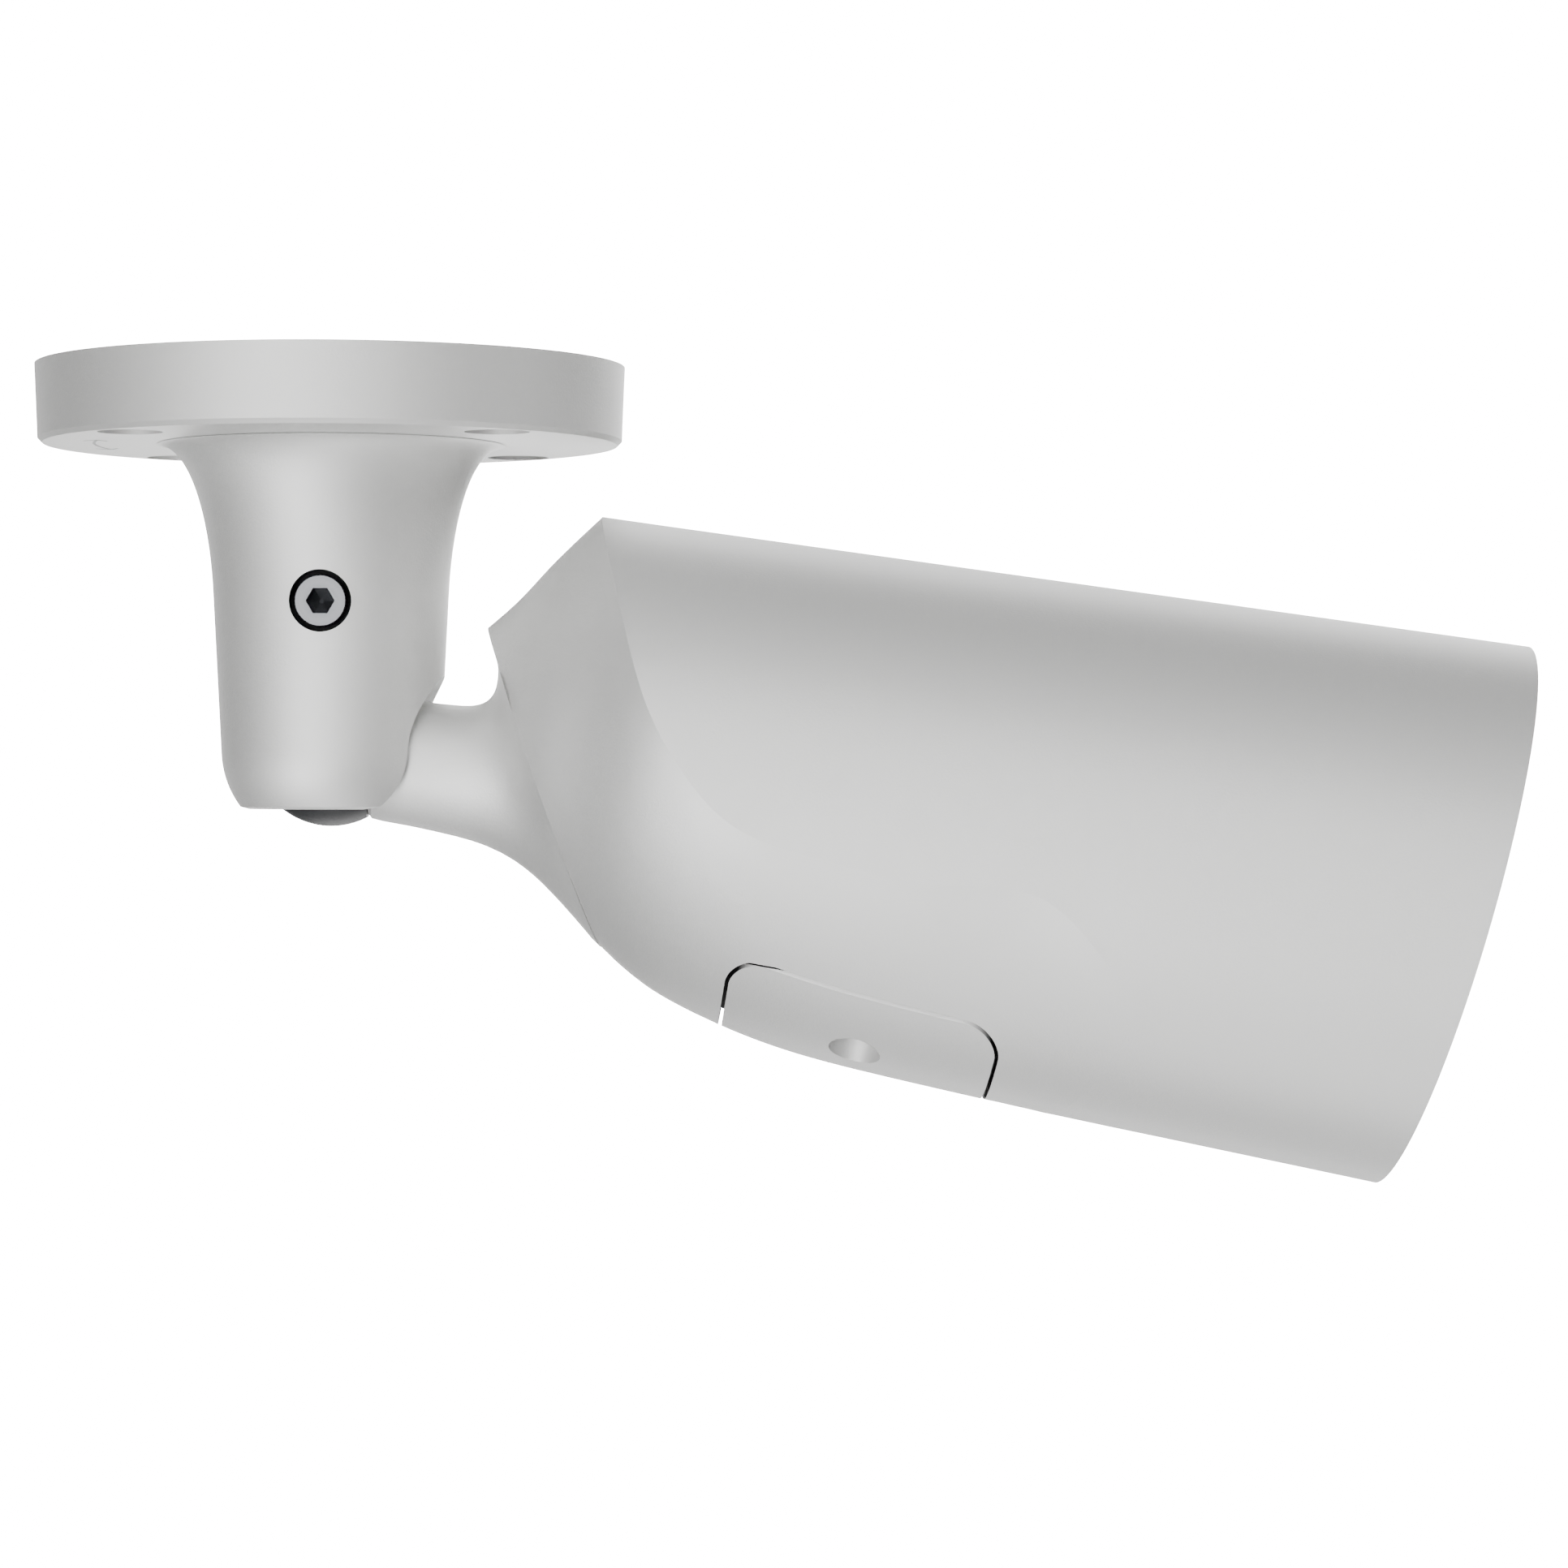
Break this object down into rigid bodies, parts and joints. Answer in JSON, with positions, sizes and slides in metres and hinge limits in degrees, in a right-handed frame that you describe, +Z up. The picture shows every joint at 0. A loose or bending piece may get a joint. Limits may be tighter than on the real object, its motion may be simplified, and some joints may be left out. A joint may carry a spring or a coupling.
{
  "type": "security camera",
  "caption": "Bullet security camera on a ceiling bracket: round base, flared panning post, ball joint and a tapered tube with a leaning rim, boat-tail rear and belly access cover.",
  "frame": {"origin": "centre of the base's mounting face, in the plane that meets the ceiling", "axes": "+Z up into the ceiling, +X the way the camera looks in plan, +Y to its left"},
  "size_m": [0.2535, 0.1, 0.1387],
  "materials": {
    "light_paint": "fine-grained powder coat, light grey",
    "dark_paint": "satin dark grey coat",
    "steel": "plain stainless steel",
    "zinc": "bare die casting",
    "rubber": "matt black rubber",
    "slip": "white low-friction plastic",
    "black_plastic": "fine matt black",
    "white_plastic": "satin white",
    "window_glass": "clear flat glass",
    "lens_glass": "coated optical glass",
    "clear_plastic": "clear moulded plastic",
    "filter_coat": "thin coated filter glass",
    "sheet_metal": "bent aluminium sheet",
    "lens_metal": "black anodised, turned",
    "board": "solder-masked circuit board",
    "chip": "moulded chip packages",
    "core": "wound parts and cans",
    "pad": "soft heat pad",
    "led": "clear lamp bodies"
  },
  "bodies": {
    "base": {"base_plate": "light_paint", "base_seal": "rubber"},
    "post": {"post": "light_paint", "pan_ring": "sheet_metal", "pan_washer": "slip", "pan_screws": "steel", "pressure_piece": "zinc"},
    "lock_screw": {"lock_screw": "steel"},
    "ball": {"ball_stud": "dark_paint", "stud_washer": "slip", "stud_nut": "steel"},
    "head": {"housing": "light_paint", "cable_grommet": "rubber", "front_window": "window_glass", "window_seal": "rubber", "window_retainer": "black_plastic", "retainer_screws": "steel", "front_mask": "black_plastic", "led_board": "board", "led_screws": "steel", "ir_leds": "led", "led_optics": "clear_plastic", "light_sensor": "clear_plastic", "lens_barrel": "lens_metal", "lens_front_element": "lens_glass", "lens_rear_element": "lens_glass", "lens_holder": "black_plastic", "holder_screws": "steel", "image_sensor": "chip", "sensor_board": "board", "sensor_screws": "steel", "chassis": "sheet_metal", "chassis_screws": "steel", "main_board": "board", "board_screws": "steel", "main_chips": "chip", "thermal_pad": "pad", "power_parts": "core", "cable_header": "white_plastic", "service_board": "board", "service_screws": "steel", "card_socket": "steel", "button_switch": "black_plastic", "status_led": "led"},
    "cover": {"access_cover": "light_paint", "cover_seal": "rubber", "cover_screws": "steel"},
    "button": {"control_button": "white_plastic"},
    "card": {"memory_card": "black_plastic"},
    "filter": {"filter_slide": "black_plastic", "filter_glass": "filter_coat"}
  },
  "joints": [
    {"name": "post_pan", "type": "hinge", "parent": "base", "child": "post", "pos_m": [0, 0, -0.0134], "axis": [0, 0, 1], "range_deg": [-175, 175]},
    {"name": "lock_screw_turn", "type": "hinge", "parent": "post", "child": "lock_screw", "pos_m": [0, -0.0193, -0.0405], "axis": [0, -1, 0], "range_deg": [0, 720]},
    {"name": "ball_tilt", "type": "hinge", "parent": "post", "child": "ball", "pos_m": [0, 0, -0.0649], "axis": [0, 1, 0], "range_deg": [-9.9, 80]},
    {"name": "head_roll", "type": "hinge", "parent": "ball", "child": "head", "pos_m": [0, 0, -0.0649], "axis": [0.985, 0, -0.1726], "range_deg": [-175, 175]},
    {"name": "cover_lift", "type": "slide", "parent": "head", "child": "cover", "axis": [-0.1726, 0, -0.985], "range_m": [0, 0.03]},
    {"name": "button_press", "type": "slide", "parent": "head", "child": "button", "axis": [0.1726, 0, 0.985], "range_m": [0, 0.0006], "stiffness_N_per_m": 2000, "springref_m": -0.0003},
    {"name": "card_eject", "type": "slide", "parent": "head", "child": "card", "axis": [-0.985, 0, 0.1726], "range_m": [0, 0.003]},
    {"name": "filter_shift", "type": "slide", "parent": "head", "child": "filter", "axis": [0, -1, 0], "range_m": [0, 0.01]}
  ]
}
